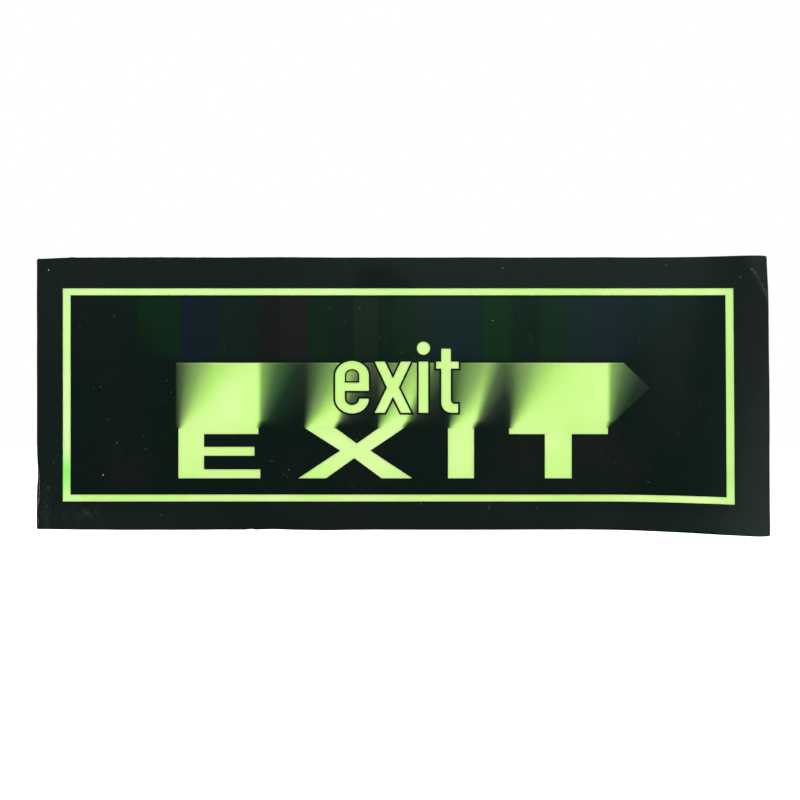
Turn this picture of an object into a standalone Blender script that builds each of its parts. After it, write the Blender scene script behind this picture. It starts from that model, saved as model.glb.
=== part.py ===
"""Self-adhesive photoluminescent exit sign, built up layer by layer.

The sign stands upright: X is its width, Z its height, and its face looks towards -Y.
The origin is the centre of the adhesive's back face, the plane that bonds to a wall.
Every layer is a thin plate. From the back they are: a release liner in two pieces, the
adhesive, a white carrier film, the luminous film, a graded tint, black ink, and a clear
laminate. The bright border and lettering are the luminous film, seen through windows in
the black ink. The sheet is flat but for its right end, which curls forward, most of all at
the lower corner. Outlines are (x, z) points of the flat sheet, in millimetres.
"""

from math import cos, floor, pi, radians, sin

import bmesh
import bpy
from mathutils import Matrix, Vector

MM = 0.001

# Sheet
WIDTH = 350.0
HEIGHT = 130.0
CORNER_RADIUS = 0.8

# Thickness of each layer, and the clearance between one layer and the next
LINER = 0.14
ADHESIVE = 0.05
CARRIER = 0.10
LUMINOUS = 0.30
TINT = 0.02
INK = 0.03
LAMINATE = 0.08
CLEARANCE = 0.02

# Release liner: a slit divides it into a wide piece and a narrow starter strip
SLIT_X = 70.0
SLIT_WIDTH = 0.3

# Curl of the right end: it starts along a slanted line and bends forward at one radius
CURL_SLANT = radians(15.0)
CURL_START = 105.0
CURL_RADIUS = 160.0
CURL_STEP = 2.0
SHEET_WELD = 0.000001

# Border line: centre, outer size and line widths
BORDER_CENTRE = (-1.9, -0.6)
BORDER_WIDTH = 321.0
BORDER_HEIGHT = 102.2
BORDER_SIDE_LINE = 3.7
BORDER_LEVEL_LINE = 3.3

# Graded band across the upper part of the capitals
BAND_LEFT = -108.3
BAND_TOP = 14.8
BAND_BOTTOM = -16.3
BAND_TOP_RIGHT = 106.6
BAND_TIP = (119.1, 2.9)

# How far the tint reaches under the ink, and how high it runs behind the panel
TRAP = 0.4
TINT_TOP = 25.6

# Capitals: one base line and bar thickness, then each letter's own sizes
CAP_BASE = -40.6
CAP_BAR = 4.3
T_BAR_UNDERSIDE = -19.4
E_LEFT = -107.0
E_STEM = 12.3
E_TOP_ARM_RIGHT = -68.6
E_MIDDLE_ARM_RIGHT = -70.5
E_BOTTOM_ARM_RIGHT = -67.7
E_MIDDLE_ARM_TOP = -25.5
X_WAIST = -27.3
X_WAIST_LEFT = -29.4
X_WAIST_RIGHT = -14.9
X_TOP_NOTCH = (-21.4, -23.9)
X_BOTTOM_NOTCH = (-22.6, -30.9)
X_LEFT_FOOT = (-49.5, -36.2)
X_RIGHT_FOOT = (-9.5, 5.3)
X_ARMS_OUTER = (-46.6, 1.4)
X_ARMS_INNER = (-31.9, -10.6)
I_LEFT = 22.3
I_RIGHT = 34.8
T_LEFT = 51.6
T_RIGHT = 99.0
T_STEM_LEFT = 68.75
T_STEM_RIGHT = 81.65

# Small lettering over the band, and the black line round it
SMALL_BASE = -9.2
SMALL_TOP = 15.4
OVERSHOOT = 0.3
SMALL_STEM = 4.6
KEYLINE = 0.9
EYE_KEYLINE = 0.7
SMALL_E_CENTRE = -23.7
SMALL_E_HALF_WIDTH = 8.1
SMALL_E_ROUND = 7.2
SMALL_E_EYE_HALF_WIDTH = 3.45
SMALL_E_EYE_TOP = 11.8
SMALL_E_EYE_BASE = 5.3
SMALL_E_BAR_UNDERSIDE = 1.35
SMALL_E_LIP_TOP = -2.4
SMALL_E_MOUTH_BASE = -5.5
SMALL_X_CENTRE = -4.1
SMALL_X_HALF_WIDTH = 8.75
SMALL_X_WAIST_HALF = 2.85
SMALL_X_ARM = 4.9
SMALL_X_TOP_NOTCH = 7.4
SMALL_X_BOTTOM_NOTCH = -1.5
SMALL_I_CENTRE = 10.55
DOT_HEIGHT = 21.8
DOT_RADIUS = 3.15
SMALL_T_LEFT = 19.1
SMALL_T_TOP = 21.6
SMALL_T_BAR_LEFT = 16.6
SMALL_T_BAR_RIGHT = 27.5
SMALL_T_BAR_UNDERSIDE = 12.0
SMALL_T_FOOT_RIGHT = 27.2
SMALL_T_FOOT_TOP = -4.9
SMALL_T_TURN = 5.0

ARC_STEPS = 10


def clear_scene():
    for obj in list(bpy.data.objects):
        bpy.data.objects.remove(obj, do_unlink=True)


def make_material(name, colour, roughness, metallic=0.0, alpha=1.0):
    material = bpy.data.materials.new(name)
    material.use_nodes = True
    shader = material.node_tree.nodes["Principled BSDF"]
    shader.inputs["Base Color"].default_value = (*colour, 1.0)
    shader.inputs["Roughness"].default_value = roughness
    shader.inputs["Metallic"].default_value = metallic
    shader.inputs["Alpha"].default_value = alpha
    return material


def rectangle(left, bottom, right, top):
    return [(left, bottom), (right, bottom), (right, top), (left, top)]


def arc(centre, radii, start, end, steps=ARC_STEPS):
    """Points along an ellipse from one angle to another, in degrees, both ends included."""
    points = []
    for step in range(steps + 1):
        angle = radians(start + (end - start) * step / steps)
        points.append((centre[0] + radii[0] * cos(angle), centre[1] + radii[1] * sin(angle)))
    return points


def rounded_rectangle(left, bottom, right, top, corners):
    """A rectangle with a radius at each corner, in the order of a walk from bottom left."""
    places = [(left, bottom, 1, 1), (right, bottom, -1, 1), (right, top, -1, -1), (left, top, 1, -1)]
    loop = []
    for turn, ((x, z, side, rise), radius) in enumerate(zip(places, corners)):
        if radius == 0.0:
            loop.append((x, z))
            continue
        centre = (x + side * radius, z + rise * radius)
        start = 180 + 90 * turn
        loop += arc(centre, (radius, radius), start, start + 90, 4)
    return loop


def signed_area(loop):
    total = 0.0
    for (x0, z0), (x1, z1) in zip(loop, loop[1:] + loop[:1]):
        total += x0 * z1 - x1 * z0
    return total / 2


def offset_outline(loop, distance):
    """The outline moved outwards by a distance, with mitred corners."""
    if signed_area(loop) < 0:
        loop = loop[::-1]
    moved = []
    for before, here, after in zip(loop[-1:] + loop[:-1], loop, loop[1:] + loop[:1]):
        first = unit(before, here)
        second = unit(here, after)
        normal = (first[1] + second[1], -first[0] - second[0])
        reach = distance * 2 / (normal[0] ** 2 + normal[1] ** 2)
        moved.append((here[0] + normal[0] * reach, here[1] + normal[1] * reach))
    return moved


def unit(start, end):
    dx, dz = end[0] - start[0], end[1] - start[1]
    length = (dx * dx + dz * dz) ** 0.5
    return dx / length, dz / length


def runs_above(outline, level):
    """The stretches of an anticlockwise outline above a level, each from right to left."""
    lowest = min(range(len(outline)), key=lambda index: outline[index][1])
    loop = outline[lowest:] + outline[:lowest + 1]
    runs = []
    for here, after in zip(loop, loop[1:]):
        if (here[1] > level) != (after[1] > level):
            share = (level - here[1]) / (after[1] - here[1])
            crossing = (here[0] + share * (after[0] - here[0]), level)
            if after[1] > level:
                runs.append([])
            runs[-1].append(crossing)
        if after[1] > level:
            runs[-1].append(after)
    return runs


def curl_section(past, depth):
    """How far along and how deep a point lies once the bend has carried it past its start."""
    turn = past / CURL_RADIUS
    reach = CURL_RADIUS + depth
    return reach * sin(turn), reach * cos(turn) - CURL_RADIUS


def curled(x, depth, z):
    """A point of the flat sheet moved to where the curl takes it.

    Between stations one step apart the sheet stays flat, so every layer bends alike and
    the layers keep their clearance.
    """
    along = x * cos(CURL_SLANT) - z * sin(CURL_SLANT)
    past = along - CURL_START
    if past <= 0.0:
        return Vector((x, depth, z))
    station = floor(past / CURL_STEP)
    share = past / CURL_STEP - station
    start = curl_section(station * CURL_STEP, depth)
    end = curl_section((station + 1) * CURL_STEP, depth)
    moved = start[0] + share * (end[0] - start[0]) - past
    return Vector((x + moved * cos(CURL_SLANT), start[1] + share * (end[1] - start[1]),
                   z - moved * sin(CURL_SLANT)))


def flat_plate(outlines, front, thickness):
    """A plate in millimetres. The first outline is its edge and the rest are windows in it."""
    curve = bpy.data.curves.new("outlines", "CURVE")
    curve.dimensions = "2D"
    curve.fill_mode = "BOTH"
    curve.extrude = thickness / 2
    for outline in outlines:
        spline = curve.splines.new("POLY")
        spline.points.add(len(outline) - 1)
        for point, (x, z) in zip(spline.points, outline):
            point.co = (x, z, 0.0, 1.0)
        spline.use_cyclic_u = True
    guide = bpy.data.objects.new("outlines", curve)
    mesh = bpy.data.meshes.new_from_object(guide)
    bpy.data.objects.remove(guide, do_unlink=True)
    stand_up = Matrix.Rotation(pi / 2, 4, "X")
    mesh.transform(Matrix.Translation((0.0, front + thickness / 2, 0.0)) @ stand_up)
    return mesh


def score(sheet):
    """Cut the plate's faces along every station of the curl, so that it can bend there."""
    across = Vector((cos(CURL_SLANT), 0.0, -sin(CURL_SLANT)))
    furthest = max(vertex.co.dot(across) for vertex in sheet.verts)
    station = CURL_START
    while station < furthest:
        geometry = sheet.verts[:] + sheet.edges[:] + sheet.faces[:]
        bmesh.ops.bisect_plane(sheet, geom=geometry, plane_co=across * station, plane_no=across,
                               dist=SHEET_WELD / MM)
        station += CURL_STEP


def plate(name, outlines, front, thickness, material, origin=(0.0, 0.0, 0.0)):
    """One layer of the sheet, curled with it. front is the y of its face in the flat sheet."""
    mesh = flat_plate(outlines, front, thickness)
    sheet = bmesh.new()
    sheet.from_mesh(mesh)
    bmesh.ops.remove_doubles(sheet, verts=sheet.verts, dist=SHEET_WELD / MM)
    score(sheet)
    for vertex in sheet.verts:
        vertex.co = (curled(*vertex.co) - Vector(origin)) * MM
    bmesh.ops.recalc_face_normals(sheet, faces=sheet.faces)
    sheet.to_mesh(mesh)
    sheet.free()
    mesh.name = name
    mesh.materials.clear()
    mesh.materials.append(material)
    layer = bpy.data.objects.new(name, mesh)
    layer.location = Vector(origin) * MM
    bpy.context.scene.collection.objects.link(layer)


def sheet_outline(left=-WIDTH / 2, right=WIDTH / 2):
    """The sign's own edge, or a piece of it that ends square at a slit."""
    left_radius = CORNER_RADIUS if left == -WIDTH / 2 else 0.0
    right_radius = CORNER_RADIUS if right == WIDTH / 2 else 0.0
    corners = (left_radius, right_radius, right_radius, left_radius)
    return rounded_rectangle(left, -HEIGHT / 2, right, HEIGHT / 2, corners)


def border_outlines():
    """The outer and inner edge of the bright border line."""
    half_width, half_height = BORDER_WIDTH / 2, BORDER_HEIGHT / 2
    left, right = BORDER_CENTRE[0] - half_width, BORDER_CENTRE[0] + half_width
    bottom, top = BORDER_CENTRE[1] - half_height, BORDER_CENTRE[1] + half_height
    outer = rectangle(left, bottom, right, top)
    inner = rectangle(left + BORDER_SIDE_LINE, bottom + BORDER_LEVEL_LINE,
                      right - BORDER_SIDE_LINE, top - BORDER_LEVEL_LINE)
    return outer, inner


def capital_e():
    """The E's lower part from its bottom left, below the band."""
    stem_right = E_LEFT + E_STEM
    bottom_arm_top = CAP_BASE + CAP_BAR
    middle_arm_base = E_MIDDLE_ARM_TOP - CAP_BAR
    return [(E_LEFT, BAND_BOTTOM), (E_LEFT, CAP_BASE),
            (E_BOTTOM_ARM_RIGHT, CAP_BASE), (E_BOTTOM_ARM_RIGHT, bottom_arm_top),
            (stem_right, bottom_arm_top), (stem_right, middle_arm_base),
            (E_MIDDLE_ARM_RIGHT, middle_arm_base), (E_MIDDLE_ARM_RIGHT, E_MIDDLE_ARM_TOP),
            (stem_right, E_MIDDLE_ARM_TOP), (stem_right, T_BAR_UNDERSIDE),
            (E_TOP_ARM_RIGHT, T_BAR_UNDERSIDE), (E_TOP_ARM_RIGHT, BAND_BOTTOM)]


def capital_x():
    """The X's lower part from its left arm round its feet to its right arm."""
    return [(X_ARMS_OUTER[0], BAND_BOTTOM), (X_WAIST_LEFT, X_WAIST),
            (X_LEFT_FOOT[0], CAP_BASE), (X_LEFT_FOOT[1], CAP_BASE), X_BOTTOM_NOTCH,
            (X_RIGHT_FOOT[0], CAP_BASE), (X_RIGHT_FOOT[1], CAP_BASE),
            (X_WAIST_RIGHT, X_WAIST), (X_ARMS_OUTER[1], BAND_BOTTOM)]


def capital_i():
    return [(I_LEFT, BAND_BOTTOM), (I_LEFT, CAP_BASE), (I_RIGHT, CAP_BASE), (I_RIGHT, BAND_BOTTOM)]


def capital_t():
    return [(T_LEFT, BAND_BOTTOM), (T_LEFT, T_BAR_UNDERSIDE), (T_STEM_LEFT, T_BAR_UNDERSIDE),
            (T_STEM_LEFT, CAP_BASE), (T_STEM_RIGHT, CAP_BASE), (T_STEM_RIGHT, T_BAR_UNDERSIDE),
            (T_RIGHT, T_BAR_UNDERSIDE), (T_RIGHT, BAND_BOTTOM)]


def panel_window():
    """The band and the capitals below it make one window, notched round the small letters' tops."""
    notches = []
    for outline in small_letters().values():
        notches += runs_above(offset_outline(outline, KEYLINE + CLEARANCE), BAND_TOP)
    notches.sort(key=lambda run: -run[0][0])
    loop = capital_e() + capital_x() + capital_i() + capital_t()
    loop += [BAND_TIP, (BAND_TOP_RIGHT, BAND_TOP)]
    for run in notches:
        loop += run
    return loop + [(BAND_LEFT, BAND_TOP), (BAND_LEFT, BAND_BOTTOM)]


def x_notch():
    """The black wedge between the arms of the capital X, inside the panel's window."""
    return [(X_ARMS_INNER[0], BAND_BOTTOM), X_TOP_NOTCH, (X_ARMS_INNER[1], BAND_BOTTOM)]


def tint_outline():
    """The tint's edge: tucked under the ink all round, and well behind the panel at the top."""
    left = BAND_LEFT - TRAP
    bottom = BAND_BOTTOM - TRAP
    shoulder = BAND_TOP_RIGHT + 2 * TRAP
    return [(left, bottom), (T_RIGHT + TRAP, bottom), (BAND_TIP[0] + 2 * TRAP, BAND_TIP[1]),
            (shoulder, BAND_TOP), (shoulder, TINT_TOP), (left, TINT_TOP)]


def small_e():
    """The small e without its eye, from the bar's right end over the top and round the lip."""
    size = (SMALL_E_HALF_WIDTH, SMALL_E_ROUND)
    top_centre = (SMALL_E_CENTRE, SMALL_TOP + OVERSHOOT - SMALL_E_ROUND)
    base_centre = (SMALL_E_CENTRE, SMALL_BASE - OVERSHOOT + SMALL_E_ROUND)
    mouth_half = SMALL_E_EYE_HALF_WIDTH
    mouth = (mouth_half, SMALL_E_LIP_TOP - SMALL_E_MOUTH_BASE)
    loop = [(SMALL_E_CENTRE + SMALL_E_HALF_WIDTH, SMALL_E_BAR_UNDERSIDE)]
    loop += arc(top_centre, size, 0, 180, 2 * ARC_STEPS)
    loop += arc(base_centre, size, 180, 355, 2 * ARC_STEPS)
    loop.append((loop[-1][0], SMALL_E_LIP_TOP))
    loop += arc((SMALL_E_CENTRE, SMALL_E_LIP_TOP), mouth, 0, -180)
    loop.append((SMALL_E_CENTRE - mouth_half, SMALL_E_BAR_UNDERSIDE))
    return loop


def small_e_eye():
    rise = SMALL_E_EYE_HALF_WIDTH * 0.85
    centre = (SMALL_E_CENTRE, SMALL_E_EYE_TOP - rise)
    loop = arc(centre, (SMALL_E_EYE_HALF_WIDTH, rise), 0, 180)
    loop.append((SMALL_E_CENTRE - SMALL_E_EYE_HALF_WIDTH, SMALL_E_EYE_BASE))
    loop.append((SMALL_E_CENTRE + SMALL_E_EYE_HALF_WIDTH, SMALL_E_EYE_BASE))
    return loop


def small_x():
    """The small x as two mirrored halves that meet at the notches."""
    waist = (SMALL_X_TOP_NOTCH + SMALL_X_BOTTOM_NOTCH) / 2
    inner = SMALL_X_HALF_WIDTH - SMALL_X_ARM
    right_half = [(0.0, SMALL_X_BOTTOM_NOTCH), (inner, SMALL_BASE), (SMALL_X_HALF_WIDTH, SMALL_BASE),
                  (SMALL_X_WAIST_HALF, waist), (SMALL_X_HALF_WIDTH, SMALL_TOP), (inner, SMALL_TOP)]
    loop = [(SMALL_X_CENTRE + x, z) for x, z in right_half]
    loop.append((SMALL_X_CENTRE, SMALL_X_TOP_NOTCH))
    loop += [(SMALL_X_CENTRE - x, z) for x, z in reversed(right_half[1:])]
    return loop


def small_i():
    half = SMALL_STEM / 2
    return rectangle(SMALL_I_CENTRE - half, SMALL_BASE, SMALL_I_CENTRE + half, SMALL_TOP)


def small_i_dot():
    around = arc((SMALL_I_CENTRE, DOT_HEIGHT), (DOT_RADIUS, DOT_RADIUS), 0, 360, 3 * ARC_STEPS)
    return around[:-1]


def small_t():
    """The small t from its foot's tip, anticlockwise round the crossbar and the turned foot."""
    stem_right = SMALL_T_LEFT + SMALL_STEM
    inner_turn = SMALL_T_TURN - SMALL_STEM * 0.7
    foot_end = SMALL_T_FOOT_RIGHT
    loop = [(foot_end, SMALL_BASE), (foot_end, SMALL_T_FOOT_TOP)]
    inner_centre = (stem_right + inner_turn, SMALL_T_FOOT_TOP + inner_turn)
    loop += arc(inner_centre, (inner_turn, inner_turn), 270, 180, 6)
    loop += [(stem_right, SMALL_T_BAR_UNDERSIDE), (SMALL_T_BAR_RIGHT, SMALL_T_BAR_UNDERSIDE),
             (SMALL_T_BAR_RIGHT, SMALL_TOP), (stem_right, SMALL_TOP), (stem_right, SMALL_T_TOP),
             (SMALL_T_LEFT, SMALL_T_TOP), (SMALL_T_LEFT, SMALL_TOP), (SMALL_T_BAR_LEFT, SMALL_TOP),
             (SMALL_T_BAR_LEFT, SMALL_T_BAR_UNDERSIDE), (SMALL_T_LEFT, SMALL_T_BAR_UNDERSIDE)]
    outer_centre = (SMALL_T_LEFT + SMALL_T_TURN, SMALL_BASE + SMALL_T_TURN)
    loop += arc(outer_centre, (SMALL_T_TURN, SMALL_T_TURN), 180, 270)
    return loop


def small_letters():
    """The outlines that have a keyline. The dot of the i lies clear of the band, in the panel."""
    return {"e": small_e(), "x": small_x(), "i": small_i(), "t": small_t()}


def hinge_centre(x, depth):
    """The middle of the line through a side edge's two corners, which its liner swings on."""
    return (curled(x, depth, HEIGHT / 2) + curled(x, depth, -HEIGHT / 2)) / 2


def add_liners(front, material):
    """Two liner pieces. Each peels away from the slit and swings on the sheet's outer edge."""
    half_slit = SLIT_WIDTH / 2
    depth = front + LINER / 2
    main = sheet_outline(right=SLIT_X - half_slit)
    strip = sheet_outline(left=SLIT_X + half_slit)
    plate("release_liner_main", [main], front, LINER, material, hinge_centre(-WIDTH / 2, depth))
    plate("release_liner_strip", [strip], front, LINER, material, hinge_centre(WIDTH / 2, depth))


def add_films(adhesive_front):
    """Adhesive, white carrier and luminous film, and the y of the luminous film's face."""
    adhesive = make_material("adhesive", (0.80, 0.78, 0.70), 0.45)
    white = make_material("white_film", (0.86, 0.87, 0.84), 0.5)
    luminous = make_material("luminous_film", (0.62, 0.98, 0.33), 0.4)
    carrier_front = adhesive_front - CLEARANCE - CARRIER
    luminous_front = carrier_front - CLEARANCE - LUMINOUS
    plate("adhesive_layer", [sheet_outline()], adhesive_front, ADHESIVE, adhesive)
    plate("white_carrier_film", [sheet_outline()], carrier_front, CARRIER, white)
    plate("luminous_film", [sheet_outline()], luminous_front, LUMINOUS, luminous)
    return luminous_front


def add_tint(front):
    """The graded band. Its windows are a little wider than the small letters' bright faces."""
    tint = make_material("graded_tint", (0.20, 0.34, 0.12), 0.4)
    bright_shapes = list(small_letters().values()) + [small_i_dot()]
    windows = [offset_outline(outline, TRAP) for outline in bright_shapes]
    plate("tint_band", [tint_outline()] + windows, front, TINT, tint)
    plate("tint_small_e_eye", [offset_outline(small_e_eye(), -TRAP / 2)], front, TINT, tint)


def add_black_ink(front):
    black = make_material("black_ink", (0.012, 0.018, 0.016), 0.25)
    border_outer, border_inner = border_outlines()
    plate("ink_margin", [sheet_outline(), border_outer], front, INK, black)
    plate("ink_panel", [border_inner, panel_window(), small_i_dot()], front, INK, black)
    plate("ink_capital_x_notch", [x_notch()], front, INK, black)
    for name, outline in small_letters().items():
        plate("keyline_small_" + name, [offset_outline(outline, KEYLINE), outline], front, INK, black)
    eye = small_e_eye()
    plate("keyline_small_e_eye", [eye, offset_outline(eye, -EYE_KEYLINE)], front, INK, black)


def build():
    clear_scene()
    kraft = make_material("release_paper", (0.78, 0.74, 0.64), 0.7)
    clear = make_material("clear_laminate", (0.95, 0.97, 0.96), 0.08, alpha=0.12)
    add_liners(CLEARANCE, kraft)
    tint_front = add_films(-ADHESIVE) - CLEARANCE - TINT
    add_tint(tint_front)
    ink_front = tint_front - CLEARANCE - INK
    add_black_ink(ink_front)
    plate("clear_laminate", [sheet_outline()], ink_front - CLEARANCE - LAMINATE, LAMINATE, clear)


build()
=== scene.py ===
"""Looks of the self-adhesive photoluminescent exit sign, built round its packed layers.

Every packed layer is remade as a finer sheet within about a millimetre of its outline: its
edges are cut by hand, it ripples a little, its upper right corner is creased and its right end
curls forward in one smooth bend. All layers go through the same shaping, so they keep their
clearance. A torn lip of laminate and some dust are added to the face.
The sign stands upright with its face towards -Y. Lengths are millimetres on the flat sheet,
as (x, depth, z), unless a comment says metres, and each mesh is turned into metres last.
"""

from math import atan2, cos, exp, hypot, pi, radians, sin
from random import Random

import bmesh
import bpy
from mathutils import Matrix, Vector, noise


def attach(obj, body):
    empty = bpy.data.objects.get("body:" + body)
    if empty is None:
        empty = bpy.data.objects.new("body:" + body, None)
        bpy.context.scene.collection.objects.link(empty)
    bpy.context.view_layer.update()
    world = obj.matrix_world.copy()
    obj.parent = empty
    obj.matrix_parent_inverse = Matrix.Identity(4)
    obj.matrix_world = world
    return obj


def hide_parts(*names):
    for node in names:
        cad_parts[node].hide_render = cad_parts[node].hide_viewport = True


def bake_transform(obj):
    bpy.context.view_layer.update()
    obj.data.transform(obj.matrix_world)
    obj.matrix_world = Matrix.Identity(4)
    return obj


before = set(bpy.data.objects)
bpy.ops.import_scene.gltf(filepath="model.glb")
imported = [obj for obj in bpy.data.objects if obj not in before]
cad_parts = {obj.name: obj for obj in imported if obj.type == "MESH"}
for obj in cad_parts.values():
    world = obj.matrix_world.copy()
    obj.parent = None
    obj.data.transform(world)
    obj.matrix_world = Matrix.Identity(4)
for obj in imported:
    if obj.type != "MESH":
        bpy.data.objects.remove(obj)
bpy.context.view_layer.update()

# A millimetre, and how close points are joined, both in metres
MM = 0.001
WELD = 0.000001

# The flat sheet and its curl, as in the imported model
WIDTH = 350.0
HEIGHT = 130.0
SLIT_X = 70.0
CURL_SLANT = radians(15.0)
CURL_START = 105.0
CURL_RADIUS = 160.0
FACE_DEPTH = -0.68

# How finely the sheets are divided, with extra cuts where the edges have small features
STEP_X = 2.5
STEP_Z = 4.0
EXTRA_CUTS_X = (-158.7, -158.0, -157.3, -72.8, -72.0, -71.2)
EXTRA_CUTS_Z = (-34.5, -36.0, -39.0, -42.5, -47.0, -50.5, -54.5, -59.0, -60.5, -63.5)
SLIT_CUT = 1.5
CREASE_CUT = 1.2

# Packed faces within this angle of each other are merged, and edges past the other stay sharp
FLAT_ANGLE = radians(0.4)
SHARP_ANGLE = radians(35.0)

# The hand-cut edges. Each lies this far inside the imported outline, outside where negative,
# and has bumps: height, middle, half width. The cut moves points within EDGE_REACH of an edge
LONG_EDGE_INSET = -0.38
LEFT_EDGE_INSET = 0.15
RIGHT_EDGE_INSET = 0.18
TOP_BUMPS = ((0.75, -176.0, 11.0), (-0.22, -158.0, 0.9), (-0.60, 168.0, 26.0),
             (0.35, 177.0, 4.0))
BOTTOM_BUMPS = ((0.42, -72.0, 1.0), (0.30, -61.0, 6.5), (-0.20, -35.0, 8.0),
                (0.30, -172.0, 12.0), (-0.75, 160.0, 34.0), (0.55, 177.0, 5.0))
LEFT_BUMPS = ((0.45, -38.0, 7.0), (-0.10, -58.0, 3.0))
RIGHT_BUMPS = ((0.70, 67.0, 13.0),)
EDGE_REACH = 3.0

# Slow ripple and smaller buckles of the whole sheet: depth, and size along x and z
RIPPLE = 0.28
RIPPLE_SIZE = (88.0, 61.0)
BUCKLE = 0.05
BUCKLE_SIZE = (23.0, 19.0)

# The crease across the upper right corner: a point on it, the direction across it, the slope
# of the corner beyond it and how softly it bends
CREASE_POINT = (165.0, 65.0)
CREASE_ACROSS = (0.911, 0.412)
CREASE_SLOPE = 0.055
CREASE_SOFTNESS = 0.8

# The laminate's edge lifts at the lower left, in two bows: (middle z, half length, depth).
# A torn lip of film stands along it
LIFTED_BOWS = ((-45.5, 11.5, 1.25), (-61.5, 3.2, 0.85))
LIFT = 0.30
LIP_TOP = -33.8
LIP_BOTTOM = -64.6
LIP_STEP = 0.45
LIP_FACETS = 4
LIP_THICKNESS = 0.04

# The release liner's edges stand a little proud along the slit
SLIT_LIFT = 0.28
SLIT_LIFT_REACH = 9.0

# A length next to a peeled liner's hinge, in metres
PEEL_BEND = 0.016

# Flakes of dust: x, z, radius, and how many small ones are scattered over the face
DUST_FLAKES = ((-143.0, -39.0, 0.28), (-169.2, 59.2, 0.28), (-169.4, -45.2, 0.18),
               (-54.0, -36.5, 0.16), (48.6, 60.4, 0.16), (127.0, 61.5, 0.16))
SMALL_FLAKES = 22
SMALL_FLAKE_RADIUS = 0.12
SCATTER_REACH = (168.0, 60.0)

# The panel's top edge, and the fade band
PANEL_TOP = 47.5
BAND_TOP = 14.8
BAND_BOTTOM = -16.3

# Where each capital's strokes reach the band's foot: start, end, how far the stroke's right
# edge leans and how much its left side slows for each millimetre of height, and how bright its
# left side starts
BAND_STROKES = ((-107.0, -68.6, 0.0, 0.36, 0.32), (-46.9, -31.7, 0.20, 0.46, 0.02),
                (-11.8, 1.0, 0.25, 0.40, 0.05), (22.3, 34.8, 0.19, 0.46, 0.06),
                (51.6, 99.0, 0.0, 0.35, 0.12))

# The trail right of a stroke: its length at the foot and its growth with height, how bright it
# starts, and the height over which it comes in
TRAIL_LENGTH = 2.2
TRAIL_GROWTH = 0.42
TRAIL_START = 0.84
TRAIL_FOOT = 4.0

# Camera: where it stands in metres, its lens, and the shift that frames the sign
CAMERA_PLACE = (0.012, -0.600, 0.050)
CAMERA_LENS = 56.25
CAMERA_SHIFT = (-0.0331, -0.1383)

# Where the camera's own lens shows on the face, as x and z, and the real lens's radius, all in
# metres, and how much lower than wide its image is
LENS_SPOT = (-0.0085, 0.0485)
LENS_RADIUS = 0.0255
LENS_FLATNESS = 0.93

# The floor, in metres, and how much it glows so that the ground looks white
FLOOR_Z = -0.40
FLOOR_HALF_WIDTH = 3.0
FLOOR_GLOW = 0.95

# Softboxes, all turned to the sign: name, place and size in metres, power in watts
SOFTBOXES = (("key_left", (-1.45, -1.15, 1.25), (1.1, 1.1), 31.0),
             ("key_right", (1.45, -1.15, 1.25), (1.1, 1.1), 31.0),
             ("overhead", (0.0, -0.55, 1.75), (1.6, 0.8), 22.0),
             ("back_left", (-1.3, 1.4, 1.1), (0.7, 0.7), 30.0),
             ("back_right", (1.3, 1.4, 1.1), (0.7, 0.7), 9.0))


# ---------------------------------------------------------------- the sheet's shape

def flattened(place):
    """A packed point, in metres, taken back to the flat sheet."""
    x, depth, z = place / MM
    along = x * cos(CURL_SLANT) - z * sin(CURL_SLANT)
    past = along - CURL_START
    if past <= 0.0:
        return Vector((x, depth, z))
    turn = atan2(past, depth + CURL_RADIUS)
    moved = turn * CURL_RADIUS - past
    depth = hypot(past, depth + CURL_RADIUS) - CURL_RADIUS
    return Vector((x + moved * cos(CURL_SLANT), depth, z - moved * sin(CURL_SLANT)))


def curled(x, depth, z):
    """A point of the flat sheet taken round the bend of its right end."""
    past = x * cos(CURL_SLANT) - z * sin(CURL_SLANT) - CURL_START
    if past <= 0.0:
        return Vector((x, depth, z))
    turn = past / CURL_RADIUS
    reach = CURL_RADIUS + depth
    moved = reach * sin(turn) - past
    return Vector((x + moved * cos(CURL_SLANT), reach * cos(turn) - CURL_RADIUS,
                   z - moved * sin(CURL_SLANT)))


def hump(place, middle, half_width):
    """A smooth hump of height one."""
    return exp(-((place - middle) / half_width) ** 2)


def bumps(place, table):
    """The sum of a table's humps: height, middle, half width."""
    return sum(height * hump(place, middle, half_width) for height, middle, half_width in table)


def wander(place, length, seed):
    """A smooth random line between -1 and 1 that turns about once in each length."""
    return noise.noise(Vector((place / length, seed, 0.37)))


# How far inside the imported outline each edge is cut, along its length

def cut_top(x):
    """The top edge, with small ticks of the blade towards its left end."""
    ticks = 0.05 * sin(x * 3.4) * hump(x, -112.0, 50.0)
    return (LONG_EDGE_INSET + 0.16 * wander(x, 31.0, 1.3) + 0.07 * wander(x, 7.0, 4.1)
            + bumps(x, TOP_BUMPS) + ticks)


def cut_bottom(x):
    return (LONG_EDGE_INSET + 0.16 * wander(x, 37.0, 8.3) + 0.07 * wander(x, 8.0, 2.7)
            + bumps(x, BOTTOM_BUMPS))


def cut_left(z):
    return (LEFT_EDGE_INSET + 0.12 * wander(z, 24.0, 5.9) + 0.06 * wander(z, 6.0, 7.7)
            + bumps(z, LEFT_BUMPS))


def cut_right(z):
    return (RIGHT_EDGE_INSET + 0.12 * wander(z, 27.0, 3.3) + 0.05 * wander(z, 6.5, 9.1)
            + bumps(z, RIGHT_BUMPS))


def near_edge(distance):
    """One at an edge, falling to nothing at the reach of the cut."""
    return max(0.0, 1.0 - distance / EDGE_REACH)


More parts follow.
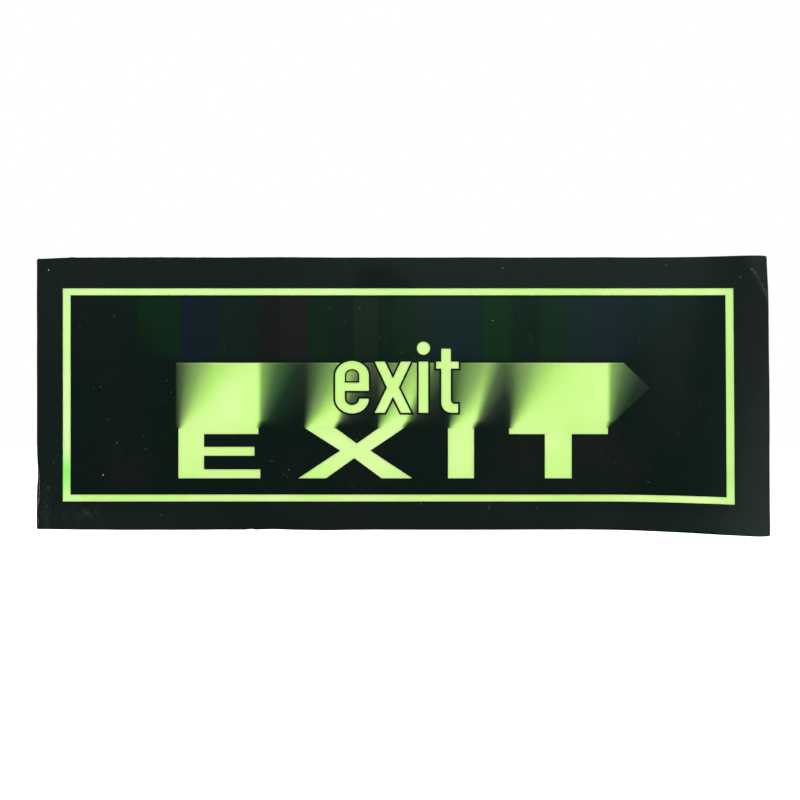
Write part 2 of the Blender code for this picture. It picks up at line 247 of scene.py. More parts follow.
def hand_cut(x, z):
    """Where a point lies once the straight outline is cut by hand."""
    moved_x = near_edge(WIDTH / 2 + x) * cut_left(z) - near_edge(WIDTH / 2 - x) * cut_right(z)
    moved_z = near_edge(HEIGHT / 2 + z) * cut_bottom(x) - near_edge(HEIGHT / 2 - z) * cut_top(x)
    return x + moved_x, z + moved_z


def crease_distance(x, z):
    """How far a point lies beyond the corner's crease."""
    return (x - CREASE_POINT[0]) * CREASE_ACROSS[0] + (z - CREASE_POINT[1]) * CREASE_ACROSS[1]


def relief(x, z):
    """How far back the sheet's own unevenness carries a point."""
    ripple = RIPPLE * noise.noise(Vector((x / RIPPLE_SIZE[0], z / RIPPLE_SIZE[1], 2.6)))
    ripple += BUCKLE * noise.noise(Vector((x / BUCKLE_SIZE[0], z / BUCKLE_SIZE[1], 7.2)))
    beyond = crease_distance(x, z)
    bend = (beyond + hypot(beyond, CREASE_SOFTNESS)) / 2
    return ripple + CREASE_SLOPE * bend


def shaped(x, depth, z):
    """A point of the flat sheet on the real one: cut, rippled, creased and curled."""
    x, z = hand_cut(x, z)
    return curled(x, depth + relief(x, z), z)


def bow(z):
    """How far in from the left edge the lifted edge of the laminate lies."""
    inset = 0.0
    for middle, half_length, deep in LIFTED_BOWS:
        share = (z - middle) / half_length
        if abs(share) < 1.0:
            inset += deep * (1.0 - share * share) * (1.0 + 0.25 * wander(z, 1.7, 6.6))
    return inset


def lift_laminate(x, depth, z):
    """The laminate's left edge lies back from the sheet's edge where it has come unstuck."""
    inset = bow(z) * near_edge(WIDTH / 2 + x)
    return x + inset, depth - LIFT * min(inset, 1.0), z


def lift_liner(x, depth, z):
    """The liner's cut edges lift along the slit, more in some places than in others."""
    share = max(0.0, 1.0 - abs(x - SLIT_X) / SLIT_LIFT_REACH)
    side = 2.2 if x > SLIT_X else 5.4
    return x, depth + SLIT_LIFT * share * share * (0.6 + 0.4 * wander(z, 26.0, side)), z


def keep_place(x, depth, z):
    """The shape of a layer that has no lifted edge."""
    return x, depth, z


# ---------------------------------------------------------------- the sheet's meshes

def fold_lines():
    """The lines every sheet is divided along, each as a point on it and its direction across."""
    lines = []
    x = -WIDTH / 2 + STEP_X
    while x < WIDTH / 2:
        lines.append(((x, 0.0, 0.0), (1.0, 0.0, 0.0)))
        x += STEP_X
    z = -HEIGHT / 2 + STEP_Z
    while z < HEIGHT / 2:
        lines.append(((0.0, 0.0, z), (0.0, 0.0, 1.0)))
        z += STEP_Z
    for side in (-1.0, 1.0):
        lines.append(((side * (WIDTH / 2 - EDGE_REACH), 0.0, 0.0), (1.0, 0.0, 0.0)))
        lines.append(((0.0, 0.0, side * (HEIGHT / 2 - EDGE_REACH)), (0.0, 0.0, 1.0)))
        lines.append(((SLIT_X + side * SLIT_CUT, 0.0, 0.0), (1.0, 0.0, 0.0)))
    for x in EXTRA_CUTS_X:
        lines.append(((x, 0.0, 0.0), (1.0, 0.0, 0.0)))
    for z in EXTRA_CUTS_Z:
        lines.append(((0.0, 0.0, z), (0.0, 0.0, 1.0)))
    for beyond in (-CREASE_CUT, 0.0, CREASE_CUT):
        point = (CREASE_POINT[0] + beyond * CREASE_ACROSS[0], 0.0,
                 CREASE_POINT[1] + beyond * CREASE_ACROSS[1])
        lines.append((point, (CREASE_ACROSS[0], 0.0, CREASE_ACROSS[1])))
    return lines


def flat_copy(node):
    """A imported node's mesh laid flat again, in millimetres, with its curl's facets merged."""
    sheet = bmesh.new()
    sheet.from_mesh(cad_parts[node].data)
    bmesh.ops.remove_doubles(sheet, verts=sheet.verts, dist=WELD)
    for vertex in sheet.verts:
        vertex.co = flattened(vertex.co)
    bmesh.ops.dissolve_limit(sheet, angle_limit=FLAT_ANGLE, verts=sheet.verts,
                             edges=sheet.edges)
    return sheet


def as_piece(sheet, name, materials):
    """The finished mesh as an object, smooth but for its cut edges."""
    bmesh.ops.recalc_face_normals(sheet, faces=sheet.faces)
    mesh = bpy.data.meshes.new(name)
    sheet.to_mesh(mesh)
    sheet.free()
    for material in materials:
        mesh.materials.append(material)
    mesh.polygons.foreach_set("use_smooth", [True] * len(mesh.polygons))
    mesh.set_sharp_from_angle(angle=SHARP_ANGLE)
    piece = bpy.data.objects.new(name, mesh)
    bpy.context.scene.collection.objects.link(piece)
    return piece


def remade(node, name, materials, own_shape=keep_place):
    """A packed layer as a finer sheet that follows the real sheet's shape."""
    sheet = flat_copy(node)
    for point, across in fold_lines():
        geometry = sheet.verts[:] + sheet.edges[:] + sheet.faces[:]
        bmesh.ops.bisect_plane(sheet, geom=geometry, plane_co=point, plane_no=across,
                               dist=WELD / MM)
    for vertex in sheet.verts:
        vertex.co = shaped(*own_shape(*vertex.co)) * MM
    piece = as_piece(sheet, name, materials)
    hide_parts(node)
    return piece


# ---------------------------------------------------------------- node materials

def linear(*levels):
    """A colour given as 0 to 255 levels of a screen, as the scene-linear colour of a node."""
    shares = [level / 255.0 for level in levels]
    return tuple(((s + 0.055) / 1.055) ** 2.4 if s > 0.04045 else s / 12.92 for s in shares)


# Albedos of the ink, inside the border line and in the margin outside it
INK_PANEL_SHADES = (linear(8, 26, 20), linear(10, 27, 22), linear(18, 27, 22))
INK_MARGIN_SHADES = (linear(18, 31, 27), linear(21, 33, 30), linear(28, 32, 29))

# Streaks of the panel's ink above the fade band, from left to right: x where each starts
STREAKS = ((-140.0, linear(9, 31, 24)), (-128.0, linear(10, 46, 16)), (-116.0, linear(9, 44, 24)),
           (-108.0, linear(22, 30, 46)), (-99.0, linear(16, 34, 42)), (-90.0, linear(22, 36, 33)),
           (-76.0, linear(18, 36, 30)), (-68.0, linear(27, 28, 26)), (-58.0, linear(34, 33, 31)),
           (-45.0, linear(14, 42, 26)), (-34.0, linear(18, 36, 28)), (-22.0, linear(26, 44, 28)),
           (-12.0, linear(12, 36, 26)), (-4.0, linear(12, 44, 24)), (6.0, linear(24, 40, 36)),
           (16.0, linear(18, 42, 44)), (28.0, linear(20, 42, 42)), (39.0, linear(14, 52, 22)),
           (52.0, linear(13, 38, 28)), (66.0, linear(16, 48, 28)), (78.0, linear(22, 44, 44)),
           (92.0, linear(25, 39, 49)), (104.0, linear(17, 38, 39)), (114.0, linear(15, 40, 40)),
           (130.0, linear(9, 34, 27)))

# Brownish patches in the panel's ink: x, z, half width, half height, strength
BROWN_PATCHES = ((-131.0, -34.0, 9.0, 16.0, 0.9), (-95.0, -30.0, 20.0, 9.0, 0.25),
                 (62.0, -34.0, 15.0, 13.0, 0.6), (96.0, -28.0, 20.0, 16.0, 0.7),
                 (128.0, -10.0, 12.0, 20.0, 0.35))


class Field:
    """A number that varies over a surface: a node's output that takes part in arithmetic."""

    def __init__(self, socket):
        self.socket = socket

    def step(self, operation, *others):
        made = self.socket.id_data.nodes.new("ShaderNodeMath")
        made.operation = operation
        for slot, value in zip(made.inputs, (self,) + others):
            put(value, slot)
        return Field(made.outputs[0])

    def __add__(self, other):
        return self.step("ADD", other)

    __radd__ = __add__

    def __mul__(self, other):
        return self.step("MULTIPLY", other)

    __rmul__ = __mul__

    def __sub__(self, other):
        return self.step("SUBTRACT", other)

    def __rsub__(self, other):
        return (self * -1.0).step("ADD", other)

    def __truediv__(self, other):
        return self.step("DIVIDE", other)

    def at_least(self, floor):
        return self.step("MAXIMUM", floor)

    def at_most(self, ceiling):
        return self.step("MINIMUM", ceiling)

    def clipped(self):
        return self.at_least(0.0).at_most(1.0)

    def decay(self):
        """e to the power of minus this."""
        return (self * -1.0).step("EXPONENT")

    def spot(self, middle, half_width):
        """One at the middle, falling off smoothly to both sides."""
        offset = (self - middle) / half_width
        return (offset * offset).decay()

    def rise(self, start, end):
        """Nothing before the start and one after the end, with a soft step between.

        A start beyond the end makes it fall instead.
        """
        made = self.socket.id_data.nodes.new("ShaderNodeMapRange")
        made.interpolation_type = "SMOOTHSTEP"
        for slot, value in zip(made.inputs, (self, start, end)):
            put(value, slot)
        return Field(made.outputs[0])


def put(value, slot):
    """Link a field or a socket to an input, or set the input's own value."""
    if isinstance(value, Field):
        value = value.socket
    if isinstance(value, bpy.types.NodeSocket):
        value.id_data.links.new(value, slot)
    elif isinstance(value, tuple) and len(slot.default_value) == len(value) + 1:
        slot.default_value = (*value, 1.0)
    else:
        slot.default_value = value


def add_node(tree, kind, inputs=None, **settings):
    made = tree.nodes.new(kind)
    for name, value in settings.items():
        setattr(made, name, value)
    for name, value in (inputs or {}).items():
        put(value, made.inputs[name])
    return made


def sheet_place(tree):
    """The point's x and z on the sheet, in millimetres."""
    place = add_node(tree, "ShaderNodeTexCoord").outputs["Object"]
    parts = add_node(tree, "ShaderNodeSeparateXYZ", {0: place})
    return Field(parts.outputs[0]) / MM, Field(parts.outputs[2]) / MM


def grain(tree, size, detail=2.0, roughness=0.5, distortion=0.0):
    """Noise whose features have this size in millimetres, the same or one for each axis."""
    sizes = size if isinstance(size, tuple) else (size, size, size)
    place = add_node(tree, "ShaderNodeTexCoord").outputs["Object"]
    scaled = add_node(tree, "ShaderNodeMapping",
                      {0: place, "Scale": Vector([1.0 / (part * MM) for part in sizes])})
    made = add_node(tree, "ShaderNodeTexNoise", {
        "Vector": scaled.outputs[0], "Scale": 1.0, "Detail": detail,
        "Roughness": roughness, "Distortion": distortion})
    return Field(made.outputs[0])


def mixed(share, first, second):
    """The first colour where the share is nothing, and the second where it is one."""
    tree = share.socket.id_data
    made = add_node(tree, "ShaderNodeMix", data_type="RGBA")
    put(share, made.inputs[0])
    put(first, made.inputs[6])
    put(second, made.inputs[7])
    return made.outputs[2]


def ramp(share, stops, interpolation="LINEAR"):
    """A colour for each share from nothing to one, between the stops."""
    made = add_node(share.socket.id_data, "ShaderNodeValToRGB", {0: share})
    made.color_ramp.interpolation = interpolation
    elements = made.color_ramp.elements
    while len(elements) < len(stops):
        elements.new(1.0)
    for element, (place, colour) in zip(elements, stops):
        element.position = place
        element.color = (*colour, 1.0)
    return made.outputs[0]


def bumped(height, depth, strength=1.0):
    """A normal for a surface whose height varies by this field, of this depth in millimetres."""
    made = add_node(height.socket.id_data, "ShaderNodeBump", {
        "Height": height, "Distance": depth * MM, "Strength": strength})
    return made.outputs["Normal"]


def blank_material(name):
    material = bpy.data.materials.new(name)
    material.use_nodes = True
    tree = material.node_tree
    return material, tree, tree.nodes["Principled BSDF"]


def luminous_colour(tree):
    """Screen-printed luminous pigment: pale yellow-green, with cloudy and banded patches."""
    x, z = sheet_place(tree)
    clouds = grain(tree, 34.0, detail=3.0)
    bands = grain(tree, (2.6, 9.0, 70.0), detail=2.0)
    colour = ramp(clouds, [(0.30, linear(209, 242, 150)), (0.48, linear(216, 243, 162)),
                           (0.70, linear(226, 244, 180))])
    colour = mixed((bands - 0.56).at_least(0.0) * 2.2, colour, linear(233, 238, 176))
    pigment = grain(tree, 0.35, detail=3.0)
    colour = mixed((pigment - 0.5).at_least(0.0) * 0.8, colour, linear(192, 236, 122))
    # The left and top border made paler and whiter: a painted reflection on the gloss.
    border_reflection = x.rise(-150.0, -158.0) + z.rise(42.0, 49.0) * x.rise(90.0, -60.0)
    colour = mixed(border_reflection.clipped() * 0.22, colour, linear(222, 248, 210))
    # The right end, where the sheet curls, made darker green: painted shade.
    colour = mixed(x.rise(146.0, 158.0) * 0.40, colour, linear(170, 222, 124))
    leak = z.spot(-38.0, 7.0) * x.spot(-160.5, 4.0)
    return mixed(leak * 0.75, colour, linear(134, 240, 94))


def luminous_material():
    material, tree, shader = blank_material("luminous_film")
    put(luminous_colour(tree), shader.inputs["Base Color"])
    crystals = grain(tree, 0.22, detail=4.0, roughness=0.7)
    put(0.38 + crystals * 0.2, shader.inputs["Roughness"])
    put(bumped(crystals, 0.02, 0.4), shader.inputs["Normal"])
    shader.inputs["Specular IOR Level"].default_value = 0.12
    return material


def stroke_light(x, rise, start, end, lean, slowing, base):
    """How bright one capital's stroke leaves the band at a point: it smears up and to the right.

    rise is the height above the band's foot. The left side fades in over a wedge that widens
    with height, and the right side drops at the stroke's edge and then trails off.
    """
    lit = 1.0 - ((x - start).at_least(0.0) / (rise * slowing + 0.9)).decay() * (1.0 - base)
    end = rise * lean + end
    trail = ((x - end).at_least(0.0) / (rise * TRAIL_GROWTH + TRAIL_LENGTH)).decay()
    trail = trail * rise.rise(0.0, TRAIL_FOOT)
    edge = x.rise(end - 1.5, end + rise * lean + 2.0)
    return lit * (1.0 - edge * (1.0 - trail * TRAIL_START)) * x.rise(start - 2.5, start)


def band_light(tree):
    """How bright the graded tint leaves each point of the band, from nothing to one."""
    x, z = sheet_place(tree)
    rise = (z - BAND_BOTTOM).at_least(0.0)
    dark = None
    for stroke in BAND_STROKES:
        unlit = 1.0 - stroke_light(x, rise, *stroke)
        dark = unlit if dark is None else dark * unlit
    last_row = z.rise(BAND_TOP - 0.9, BAND_TOP - 0.2) * 0.10
    return (1.0 - dark + last_row).clipped()


def tint_material():
    """Graded ink over the luminous film: black-green through olive to the film's own colour."""
    material, tree, shader = blank_material("graded_tint")
    x, _ = sheet_place(tree)
    light = (band_light(tree) + (grain(tree, 1.1, detail=2.0) - 0.5) * 0.035).clipped()
    warm = ramp(light, [(0.0, linear(11, 25, 20)), (0.22, linear(47, 56, 44)),
                        (0.45, linear(97, 114, 76)), (0.72, linear(150, 180, 106)),
                        (0.92, linear(200, 236, 138))])
    cool = ramp(light, [(0.0, linear(9, 28, 20)), (0.22, linear(32, 60, 38)),
                        (0.45, linear(76, 117, 68)), (0.72, linear(138, 186, 100)),
                        (0.92, linear(196, 240, 134))])
    cast = grain(tree, (15.0, 40.0, 30.0), detail=1.0).rise(0.40, 0.60) * 0.45
    cast = cast + x.spot(-58.0, 9.0) * 0.9 + x.spot(109.0, 7.0) * 0.5
    colour = mixed(cast.clipped(), warm, cool)
    colour = mixed(light.rise(0.90, 1.0), colour, luminous_colour(tree))
    put(colour, shader.inputs["Base Color"])
    put(0.34 + grain(tree, 0.5) * 0.16, shader.inputs["Roughness"])
    put(bumped(grain(tree, 0.4, detail=3.0), 0.01, 0.4), shader.inputs["Normal"])
    shader.inputs["Specular IOR Level"].default_value = 0.12
    return material


def with_streaks(tree, colour):
    """The panel's ink with upright green, blue and brown streaks between the band and its top."""
    x, z = sheet_place(tree)
    inside = z.rise(BAND_TOP - 1.0, BAND_TOP + 4.0) * (1.0 - z.rise(PANEL_TOP - 2.5, PANEL_TOP))
    first, last = STREAKS[0][0], STREAKS[-1][0]
    fine = (grain(tree, (3.0, 60.0, 900.0), detail=3.0, roughness=0.6) - 0.5) * 22.0
    across = (x + fine - first) / (last - first)
    streaks = ramp(across, [((start - first) / (last - first), shade)
                            for start, shade in STREAKS], "CONSTANT")
    lean = (30.0 - z) * 0.9
    inside = inside * (x - lean).rise(-138.0, -108.0) * (1.0 - (x + lean).rise(104.0, 136.0))
    return mixed(inside * 0.85, colour, streaks)


def with_brown_patches(tree, colour):
    """The panel's ink with faint, cloudy brown patches."""
    x, z = sheet_place(tree)
    brown = None
    for middle, height, half_width, half_height, strength in BROWN_PATCHES:
        patch = x.spot(middle, half_width) * z.spot(height, half_height) * strength
        brown = patch if brown is None else brown + patch
    brown = brown * grain(tree, (9.0, 9.0, 30.0), detail=3.0).rise(0.30, 0.60)
    return mixed(brown.clipped(), colour, linear(30, 29, 27))


def ink_material(name, shades, streaked):
    """Screen-printed black ink, uneven in hue, and in the panel streaked and patchy as well."""
    material, tree, shader = blank_material(name)
    clouds = grain(tree, 55.0, detail=3.0)
    colour = ramp(clouds, list(zip((0.32, 0.50, 0.70), shades)))
    if streaked:
        colour = with_brown_patches(tree, with_streaks(tree, colour))
    put(colour, shader.inputs["Base Color"])
    put(0.30 + grain(tree, 2.0, detail=4.0) * 0.18, shader.inputs["Roughness"])
    mesh_marks = grain(tree, 0.28, detail=2.0)
    put(bumped(mesh_marks, 0.008, 0.35), shader.inputs["Normal"])
    shader.inputs["Specular IOR Level"].default_value = 0.08
    return material


def film_marks_and_highlights(tree):
    """Haze and painted highlights on the clear laminate, from nothing to one.

    A painted highlight inside the lifted edge and finger smears lie at the lower left, a painted
    highlight along the crease and painted sheen on the corner beyond it at the upper right, grey
    streaks along both ends of the foot, and dust and wipes all over.
    """
    x, z = sheet_place(tree)
    # Whitish streaks just inside the lifted edge at the lower left: a painted highlight of the
    # lifted film.
    streaky_grain = grain(tree, (0.5, 1.0, 0.9), detail=4.0, roughness=0.7, distortion=0.6)
    lifted_edge_highlight = streaky_grain.rise(0.54, 0.66) * x.spot(-171.0, 2.4) * z.spot(-56.0, 9.0)
    smear = grain(tree, (3.0, 3.0, 4.0), detail=5.0, roughness=0.65).rise(0.42, 0.72)
    smear = smear * (x.spot(-150.0, 5.0) + x.spot(-162.0, 7.0) * 0.5) * z.spot(-57.5, 4.5)
    beyond = crease_distance(x, z)
    crumple = grain(tree, 2.4, detail=4.0)
    curve = beyond + (z - 52.0) * (z - 52.0) * 0.012
    # A whitish line along the crease: a painted highlight.
    crease = curve.spot(0.3, 0.6) * crumple.rise(0.36, 0.66)
    crease = crease * z.rise(38.0, 44.0) * (1.0 - z.rise(57.0, 62.0))
    dust = grain(tree, 1.3, detail=0.0).rise(0.80, 0.86) * grain(tree, 30.0).rise(0.45, 0.6)
    # The corner beyond the crease made whiter: painted sheen of the tilted corner.
    corner = beyond.rise(-4.0, 3.0) * crumple
    wipes = grain(tree, (26.0, 30.0, 5.0), detail=4.0, distortion=0.4).rise(0.5, 0.8)
    foot = z.rise(-55.0, -59.0) * (x.rise(30.0, 110.0) + x.rise(-80.0, -130.0))
    foot = foot * (0.4 + grain(tree, (7.0, 7.0, 40.0), detail=3.0))
    return (lifted_edge_highlight * 0.16 + smear * 0.030 + crease * 0.050 + dust * 0.05
            + corner * 0.026 + wipes * 0.002 + foot * 0.004)


def laminate_material():
    """Clear gloss film: light passes straight through but for its mirror-like top face."""
    material, tree, shader = blank_material("clear_laminate")
    tree.nodes.remove(shader)
    roughness = 0.035 + grain(tree, 14.0, detail=4.0) * 0.06
    peel = grain(tree, 2.4, detail=2.0) + grain(tree, (0.5, 1.0, 9.0), detail=3.0) * 0.15
    normal = bumped(peel, 0.010, 0.5)
    gloss = add_node(tree, "ShaderNodeBsdfGlossy", {
        "Color": (0.96, 1.0, 0.98), "Roughness": roughness, "Normal": normal})
    fresnel = add_node(tree, "ShaderNodeFresnel", {"IOR": 1.5, "Normal": normal})
    clear = add_node(tree, "ShaderNodeBsdfTransparent", {"Color": (1.0, 1.0, 1.0)})
    # Whitish diffuse mixed in by the marks: real haze, dust and smears, and painted highlights and
    # sheen.
    haze_and_highlight = add_node(tree, "ShaderNodeBsdfDiffuse", {
        "Color": linear(214, 222, 222), "Roughness": 0.4})
    through = add_node(tree, "ShaderNodeMixShader", {
        0: fresnel.outputs[0], 1: clear.outputs[0], 2: gloss.outputs[0]})
    marked = add_node(tree, "ShaderNodeMixShader", {
        0: film_marks_and_highlights(tree), 1: through.outputs[0], 2: haze_and_highlight.outputs[0]})
    put(marked.outputs[0], tree.nodes["Material Output"].inputs["Surface"])
    return material


def bonded_face_material():
    """The laminate's back face and edges, which are wetted by its glue and reflect nothing."""
    material, tree, shader = blank_material("clear_laminate_bonded")
    tree.nodes.remove(shader)
    clear = add_node(tree, "ShaderNodeBsdfTransparent", {"Color": (1.0, 1.0, 1.0)})
    glue = add_node(tree, "ShaderNodeBsdfDiffuse", {"Color": linear(226, 230, 222)})
    bubbles = grain(tree, 0.9, detail=1.0).rise(0.74, 0.84) * 0.03
    mix = add_node(tree, "ShaderNodeMixShader", {
        0: bubbles, 1: clear.outputs[0], 2: glue.outputs[0]})
    put(mix.outputs[0], tree.nodes["Material Output"].inputs["Surface"])
    return material


def lip_highlight_material():
    """Clear film of the torn lip, whose whitish grey is a painted highlight of the lifted edge."""
    material, tree, shader = blank_material("lip_painted_highlight")
    lip_grain = grain(tree, (0.5, 0.5, 1.6), detail=4.0)
    put(ramp(lip_grain, [(0.3, linear(120, 128, 126)), (0.6, linear(206, 212, 210))]),
        shader.inputs["Base Color"])
    put(0.28 + lip_grain * 0.3, shader.inputs["Roughness"])
    put(bumped(lip_grain, 0.03, 0.6), shader.inputs["Normal"])
    return material


def white_film_material():
    material, tree, shader = blank_material("white_film")
    clouds = grain(tree, 18.0, detail=3.0)
    put(ramp(clouds, [(0.3, linear(232, 234, 226)), (0.7, linear(243, 244, 238))]),
        shader.inputs["Base Color"])
    put(0.42 + grain(tree, 1.5) * 0.2, shader.inputs["Roughness"])
    put(bumped(grain(tree, 0.5, detail=3.0), 0.01, 0.5), shader.inputs["Normal"])
    return material


def adhesive_material():
    """Clear tacky glue over the white film, with coating streaks and small trapped bubbles."""
    material, tree, shader = blank_material("adhesive")
    streaks = grain(tree, (60.0, 9.0, 2.2), detail=4.0)
    bubbles = grain(tree, 1.1, detail=1.0).rise(0.68, 0.78)
    colour = ramp(streaks, [(0.3, linear(222, 221, 206)), (0.7, linear(236, 235, 224))])
    put(mixed(bubbles * 0.5, colour, linear(205, 206, 196)), shader.inputs["Base Color"])
    put(0.16 + streaks * 0.16 + bubbles * 0.15, shader.inputs["Roughness"])
    height = streaks * 0.6 + grain(tree, 0.8, detail=3.0) * 0.4 - bubbles * 0.3
    put(bumped(height, 0.03, 0.5), shader.inputs["Normal"])
    shader.inputs["Coat Weight"].default_value = 0.35
    shader.inputs["Coat Roughness"].default_value = 0.12
    return material


def paper_material():
    """Silicone-coated release paper: warm white with fibres, faint handling creases and a sheen."""
    material, tree, shader = blank_material("release_paper")
    fibres = grain(tree, (2.6, 1.0, 0.5), detail=5.0, roughness=0.65, distortion=1.2)
    formation = grain(tree, 7.0, detail=4.0)
    colour = ramp(formation * 0.6 + fibres * 0.4, [
        (0.34, linear(219, 206, 181)), (0.50, linear(231, 220, 198)),
        (0.66, linear(240, 231, 213))])
    flecks = grain(tree, (1.6, 1.0, 0.4), detail=2.0).rise(0.74, 0.82)
    colour = mixed(flecks * 0.5, colour, linear(182, 165, 132))
    handling = grain(tree, (46.0, 20.0, 30.0), detail=5.0, roughness=0.55, distortion=1.5)
    folds = (handling - 0.5).step("ABSOLUTE").rise(0.0, 0.02)
    # Darker lines along the handling creases: painted shade in the creases.
    put(mixed((1.0 - folds) * 0.12, colour, linear(178, 168, 146)), shader.inputs["Base Color"])
    put(0.50 + fibres * 0.22, shader.inputs["Roughness"])
    height = fibres * 0.25 + formation * 0.4 + folds * 0.35
    put(bumped(height, 0.05, 0.5), shader.inputs["Normal"])
    shader.inputs["Sheen Weight"].default_value = 0.08
    return material


def dust_material():
    material, tree, shader = blank_material("dust")
    put(ramp(grain(tree, 0.2), [(0.3, linear(150, 160, 160)), (0.7, linear(214, 220, 220))]),
        shader.inputs["Base Color"])
    put(0.75 + grain(tree, 0.1) * 0.2, shader.inputs["Roughness"])
    put(bumped(grain(tree, 0.08), 0.02), shader.inputs["Normal"])
    return material


# ---------------------------------------------------------------- pieces

def remake_layers():
    """Every packed layer's finer sheet, riding on its body."""
    ink = ink_material("black_ink", INK_PANEL_SHADES, True)
    margin_ink = ink_material("black_ink_margin", INK_MARGIN_SHADES, False)
    tint = tint_material()
    laminate = laminate_material()
    prints = {"ink_margin": margin_ink, "ink_panel": ink, "ink_capital_x_notch": ink,
              "keyline_small_e": ink, "keyline_small_e_eye": ink, "keyline_small_x": ink,
              "keyline_small_i": ink, "keyline_small_t": ink,
              "tint_band": tint, "tint_small_e_eye": tint}
    for node, material in prints.items():
        piece = remade(node, node + "_print", [material])
        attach(piece, "sign")
    films = (("luminous_film", "luminous_sheet", luminous_material(), "luminous_film"),
             ("white_carrier_film", "carrier_sheet", white_film_material(), "white_film"),
             ("adhesive_layer", "adhesive_coat", adhesive_material(), "adhesive"))
    for node, name, material, slot in films:
        piece = remade(node, name, [material])
        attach(piece, "sign")
    cover = remade("clear_laminate", "laminate_sheet", [laminate, bonded_face_material()],
                   lift_laminate)
    for face in cover.data.polygons:
        face.material_index = 0 if face.normal.y < -0.5 else 1
    cover.visible_shadow = False
    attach(cover, "sign")


def remake_liners():
    """The release liner's two pieces of paper, their edges lifting a little along the slit."""
    paper = paper_material()
    main = remade("release_liner_main", "liner_main_paper", [paper], lift_liner)
    strip = remade("release_liner_strip", "liner_strip_paper", [paper], lift_liner)
    inward = curled(WIDTH / 2 - PEEL_BEND / MM, 0.0, 0.0) * MM - curled(WIDTH / 2, 0.0, 0.0) * MM
    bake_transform(main)
    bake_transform(strip)


def add_torn_lip():
    """The sliver of clear film that stands up along the laminate's lifted edge."""
    lip = bmesh.new()
    rows = []
    z = LIP_TOP
    while z > LIP_BOTTOM:
        width = 0.20 + 0.18 * abs(wander(z, 2.3, 1.9)) + 0.14 * min(bow(z), 1.0)
        row = []
        for step in range(LIP_FACETS + 1):
            turn = radians(-20.0 + 38.0 * step)
            x = -WIDTH / 2 + bow(z) + 0.1 + width * 0.45 * sin(turn)
            up = 0.02 + LIFT * min(bow(z), 1.0) + width * 0.45 * (1.0 - cos(turn))
            row.append(lip.verts.new(shaped(x, FACE_DEPTH - up, z) * MM))
        rows.append(row)
        z -= LIP_STEP
    for upper, lower in zip(rows, rows[1:]):
        for step in range(LIP_FACETS):
            lip.faces.new((upper[step], upper[step + 1], lower[step + 1], lower[step]))
    bmesh.ops.solidify(lip, geom=lip.faces[:], thickness=LIP_THICKNESS * MM)
    piece = as_piece(lip, "laminate_torn_lip", [lip_highlight_material()])
    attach(piece, "sign")


def add_dust():
    """A few flakes of dust that lie on the face, the largest where they show most."""
    flakes = list(DUST_FLAKES)
    scatter = Random(11)
    reach_x, reach_z = SCATTER_REACH
    for _ in range(SMALL_FLAKES):
        flakes.append((scatter.uniform(-reach_x, reach_x), scatter.uniform(-reach_z, reach_z),
                       SMALL_FLAKE_RADIUS))
    dust = bmesh.new()
    for x, z, radius in flakes:
        middle = Vector((x, 0.0, z))
        made = bmesh.ops.create_icosphere(dust, subdivisions=2, radius=radius)
        for vertex in made["verts"]:
            rough = 1.0 + 0.55 * noise.noise(vertex.co * (2.2 / radius) + middle)
            x_out, depth, z_out = vertex.co * rough
            depth = FACE_DEPTH - 0.03 - (depth + radius) * 0.30
            vertex.co = shaped(x + x_out * 1.2, depth, z + z_out * 0.8) * MM
    piece = as_piece(dust, "face_dust", [dust_material()])
    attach(piece, "sign")


# ---------------------------------------------------------------- stage

def add_floor():
    """A plain pale floor that glows a little but throws no light on the sign."""
    floor = bmesh.new()
    bmesh.ops.create_grid(floor, x_segments=24, y_segments=24, size=FLOOR_HALF_WIDTH)
    for vertex in floor.verts:
        vertex.co.z = FLOOR_Z
    mesh = bpy.data.meshes.new("floor")
    floor.to_mesh(mesh)
    floor.free()
    material, tree, shader = blank_material("pale_floor")
    tone = grain(tree, 400.0, detail=2.0)
    put(ramp(tone, [(0.3, linear(247, 247, 247)), (0.7, linear(252, 252, 252))]),
        shader.inputs["Base Color"])
    shader.inputs["Roughness"].default_value = 0.9
    shader.inputs["Emission Color"].default_value = (1.0, 1.0, 1.0, 1.0)
    shader.inputs["Emission Strength"].default_value = FLOOR_GLOW
    mesh.materials.append(material)
    piece = bpy.data.objects.new("floor", mesh)
    piece.visible_glossy = False
    piece.visible_diffuse = False
    bpy.context.scene.collection.objects.link(piece)


def add_lens_card():
    """The upper half of the camera's own lens, a dark disc that the gloss mirrors in the margin."""
    card = bmesh.new()
    camera = Vector(CAMERA_PLACE)
    mirrored = Vector((2 * LENS_SPOT[0] - camera.x, camera.y, 2 * LENS_SPOT[1] - camera.z))
    rim = [mirrored + Vector((cos(turn), 0.0, LENS_FLATNESS * sin(turn))) * LENS_RADIUS
           for turn in [pi * step / 32 for step in range(33)]]
    card.faces.new([card.verts.new(point) for point in rim])
    mesh = bpy.data.meshes.new("lens_card")
    card.to_mesh(mesh)
    card.free()
    material, _, shader = blank_material("dark_glass")
    shader.inputs["Base Color"].default_value = (0.0, 0.0, 0.0, 1.0)
    shader.inputs["Specular IOR Level"].default_value = 0.0
    mesh.materials.append(material)
    piece = bpy.data.objects.new("lens_card", mesh)
    piece.visible_camera = False
    piece.visible_diffuse = False
    piece.visible_shadow = False
    bpy.context.scene.collection.objects.link(piece)


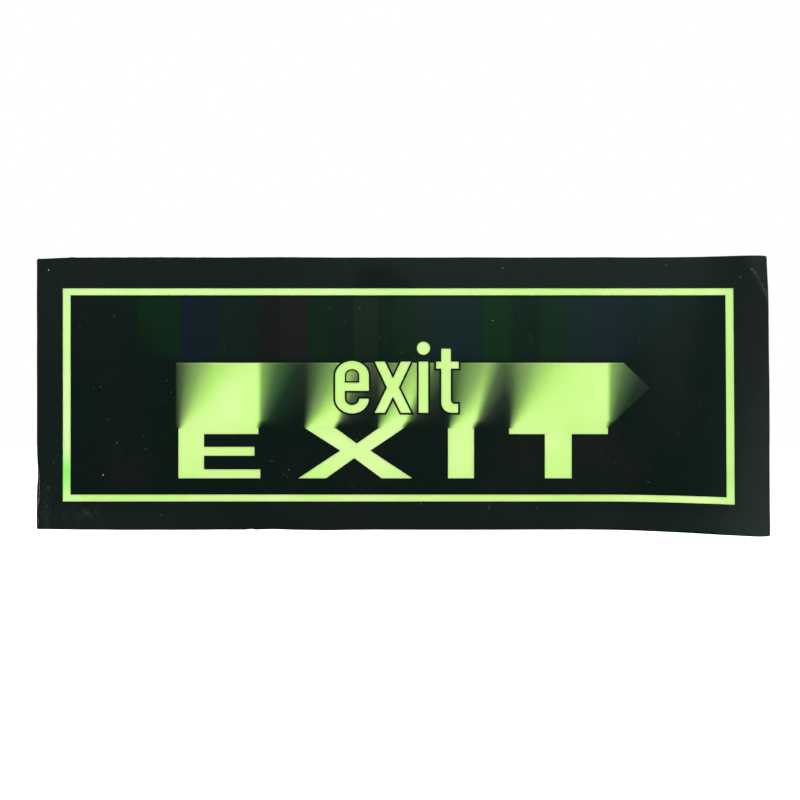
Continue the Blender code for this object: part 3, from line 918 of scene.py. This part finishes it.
def add_softbox(name, place, size, power):
    """A soft lamp that points at the sign's middle."""
    lamp = bpy.data.lights.new(name, "AREA")
    lamp.shape = "RECTANGLE"
    lamp.size, lamp.size_y = size
    lamp.energy = power
    box = bpy.data.objects.new(name, lamp)
    box.location = place
    middle = Vector((0.0, 0.0, 0.0))
    box.rotation_euler = (middle - box.location).to_track_quat("-Z", "Y").to_euler()
    bpy.context.scene.collection.objects.link(box)


def light_world():
    """A white room to look at. What the gloss mirrors in front of the sign is a dim studio."""
    world = bpy.data.worlds.new("studio")
    world.use_nodes = True
    tree = world.node_tree
    direction = add_node(tree, "ShaderNodeTexCoord").outputs["Generated"]
    parts = add_node(tree, "ShaderNodeSeparateXYZ", {0: direction})
    x, y, z = (Field(part) for part in parts.outputs)
    sides = x.rise(-0.10, 0.40) * 0.12 + (x * -1.0).rise(0.30, 0.75) * 0.40
    above = z.rise(-0.08, 0.03) * (0.045 + x.rise(-0.15, 0.0) * 0.13)
    dark_right = x.rise(0.05, 0.25) * 0.05
    behind = y.rise(-0.2, 0.5) * 0.16
    level = 0.03 + sides + above - dark_right + behind
    tint = mixed(level.clipped(), (0.0, 0.0, 0.0), (0.80, 1.0, 0.98))
    studio = add_node(tree, "ShaderNodeBackground", {"Color": tint, "Strength": 1.0})
    seen = add_node(tree, "ShaderNodeBackground", {"Color": (1.0, 1.0, 1.0), "Strength": 1.0})
    path = add_node(tree, "ShaderNodeLightPath")
    mix = add_node(tree, "ShaderNodeMixShader", {
        0: path.outputs["Is Camera Ray"], 1: studio.outputs[0], 2: seen.outputs[0]})
    put(mix.outputs[0], tree.nodes["World Output"].inputs["Surface"])
    bpy.context.scene.world = world


def add_camera():
    """The camera at the photo's viewing angle, straight on, and colours shown as they are."""
    lens = bpy.data.cameras.new("camera")
    lens.lens = CAMERA_LENS
    lens.sensor_width = 36.0
    lens.shift_x, lens.shift_y = CAMERA_SHIFT
    camera = bpy.data.objects.new("camera", lens)
    camera.location = CAMERA_PLACE
    camera.rotation_euler = (pi / 2, 0.0, 0.0)
    bpy.context.scene.collection.objects.link(camera)
    bpy.context.scene.camera = camera
    bpy.context.scene.view_settings.view_transform = "Standard"


remake_layers()
remake_liners()
add_torn_lip()
add_dust()
add_floor()
add_lens_card()
for softbox in SOFTBOXES:
    add_softbox(*softbox)
light_world()
add_camera()
